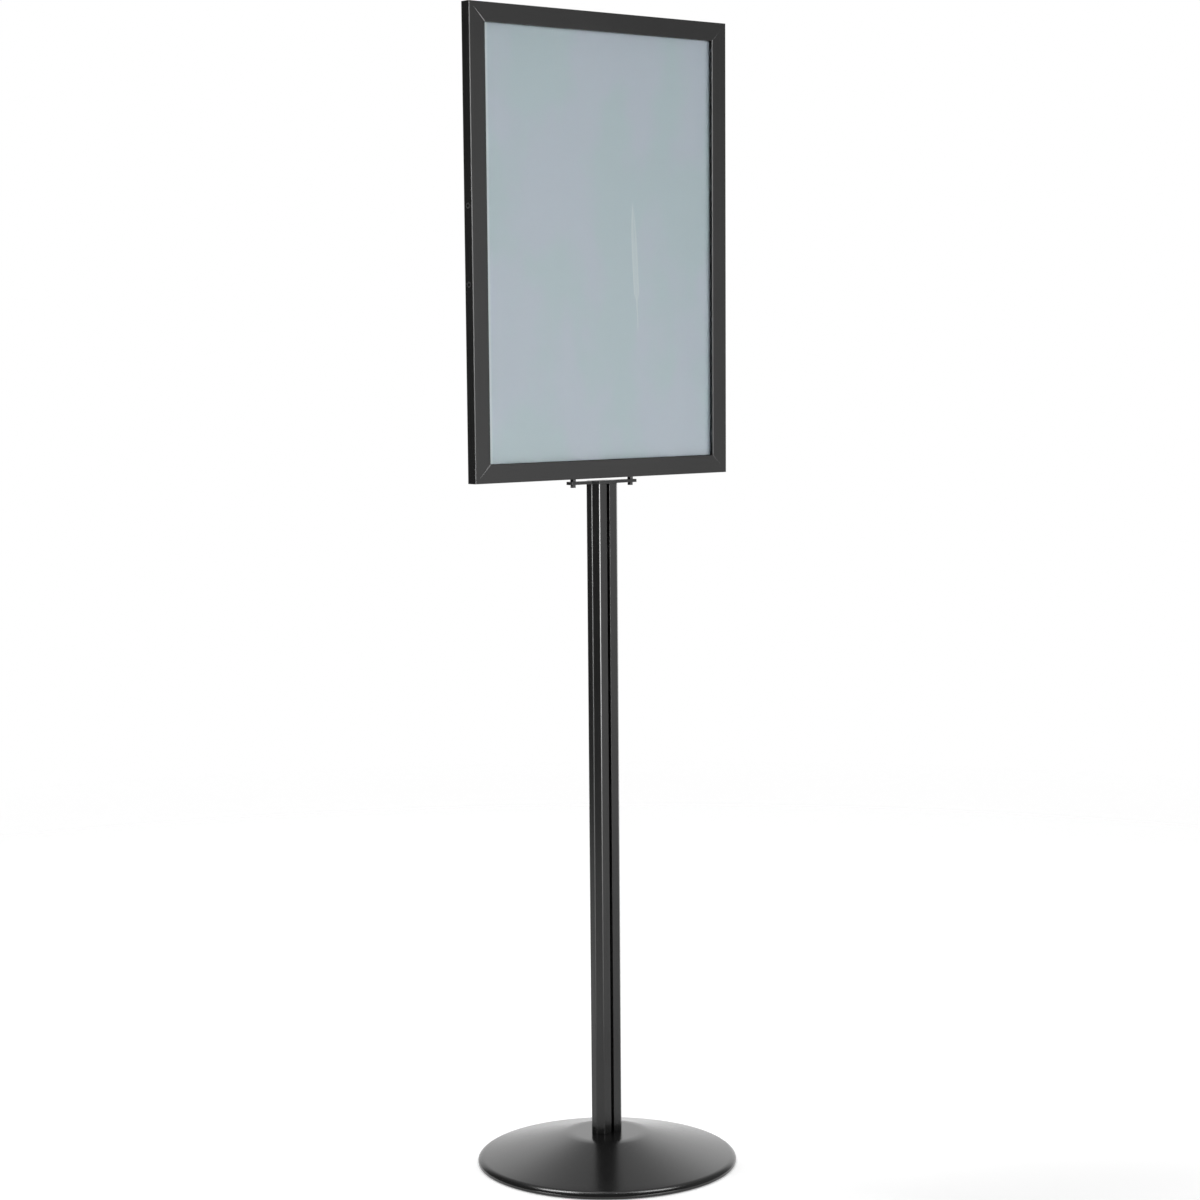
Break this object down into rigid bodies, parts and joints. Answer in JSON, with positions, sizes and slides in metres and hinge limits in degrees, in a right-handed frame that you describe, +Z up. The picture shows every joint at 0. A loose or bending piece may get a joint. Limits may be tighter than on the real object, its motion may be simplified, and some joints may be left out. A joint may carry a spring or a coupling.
{
  "type": "sign stand",
  "caption": "Floor-standing double-sided sign frame on a slotted post and a round weighted base; the clear covers and the sign card slide out through the top.",
  "frame": {"origin": "centre of the round base on the floor", "axes": "+Z up along the post, -Y towards the front of the sign, +X to the right of the sign seen from the front"},
  "size_m": [0.438, 0.36, 1.5635],
  "materials": {
    "base_paint": "smooth semi-gloss black powder coat",
    "cast_weight": "rough casting",
    "rubber_pads": "moulded black rubber",
    "zinc_steel": "zinc plated",
    "black_anodised": "satin black anodised extrusion",
    "black_plate": "satin black powder coat",
    "black_screws": "black oxide",
    "black_frame": "satin black extrusion, mitred",
    "bare_aluminium": "bare mill finish",
    "insert_steel": "dark plated steel",
    "clear_acrylic": "clear acrylic sheet, polished",
    "protective_film": "thin milky film, a little creased",
    "blank_card": "blank pale card"
  },
  "bodies": {
    "stand": {"base_cover": "base_paint", "base_weight": "cast_weight", "base_pads": "rubber_pads", "base_bolts": "zinc_steel", "base_washers": "zinc_steel", "post": "black_anodised", "mount_plate": "black_plate", "post_screws": "black_screws", "spacers": "black_screws", "frame_screws": "black_screws", "left_stile": "black_frame", "right_stile": "black_frame", "top_rail": "black_frame", "bottom_rail": "black_frame", "top_left_keys": "bare_aluminium", "top_right_keys": "bare_aluminium", "bottom_left_keys": "bare_aluminium", "bottom_right_keys": "bare_aluminium", "side_inserts": "insert_steel", "bottom_inserts": "insert_steel"},
    "front_cover": {"front_lens": "clear_acrylic", "front_film": "protective_film"},
    "card": {"sign_card": "blank_card"},
    "rear_cover": {"rear_lens": "clear_acrylic", "rear_film": "protective_film"}
  },
  "joints": [
    {"name": "front_cover_lift", "type": "slide", "parent": "stand", "child": "front_cover", "axis": [0, 0, 1], "range_m": [0, 0.62]},
    {"name": "card_lift", "type": "slide", "parent": "stand", "child": "card", "axis": [0, 0, 1], "range_m": [0, 0.62]},
    {"name": "rear_cover_lift", "type": "slide", "parent": "stand", "child": "rear_cover", "axis": [0, 0, 1], "range_m": [0, 0.62]}
  ]
}
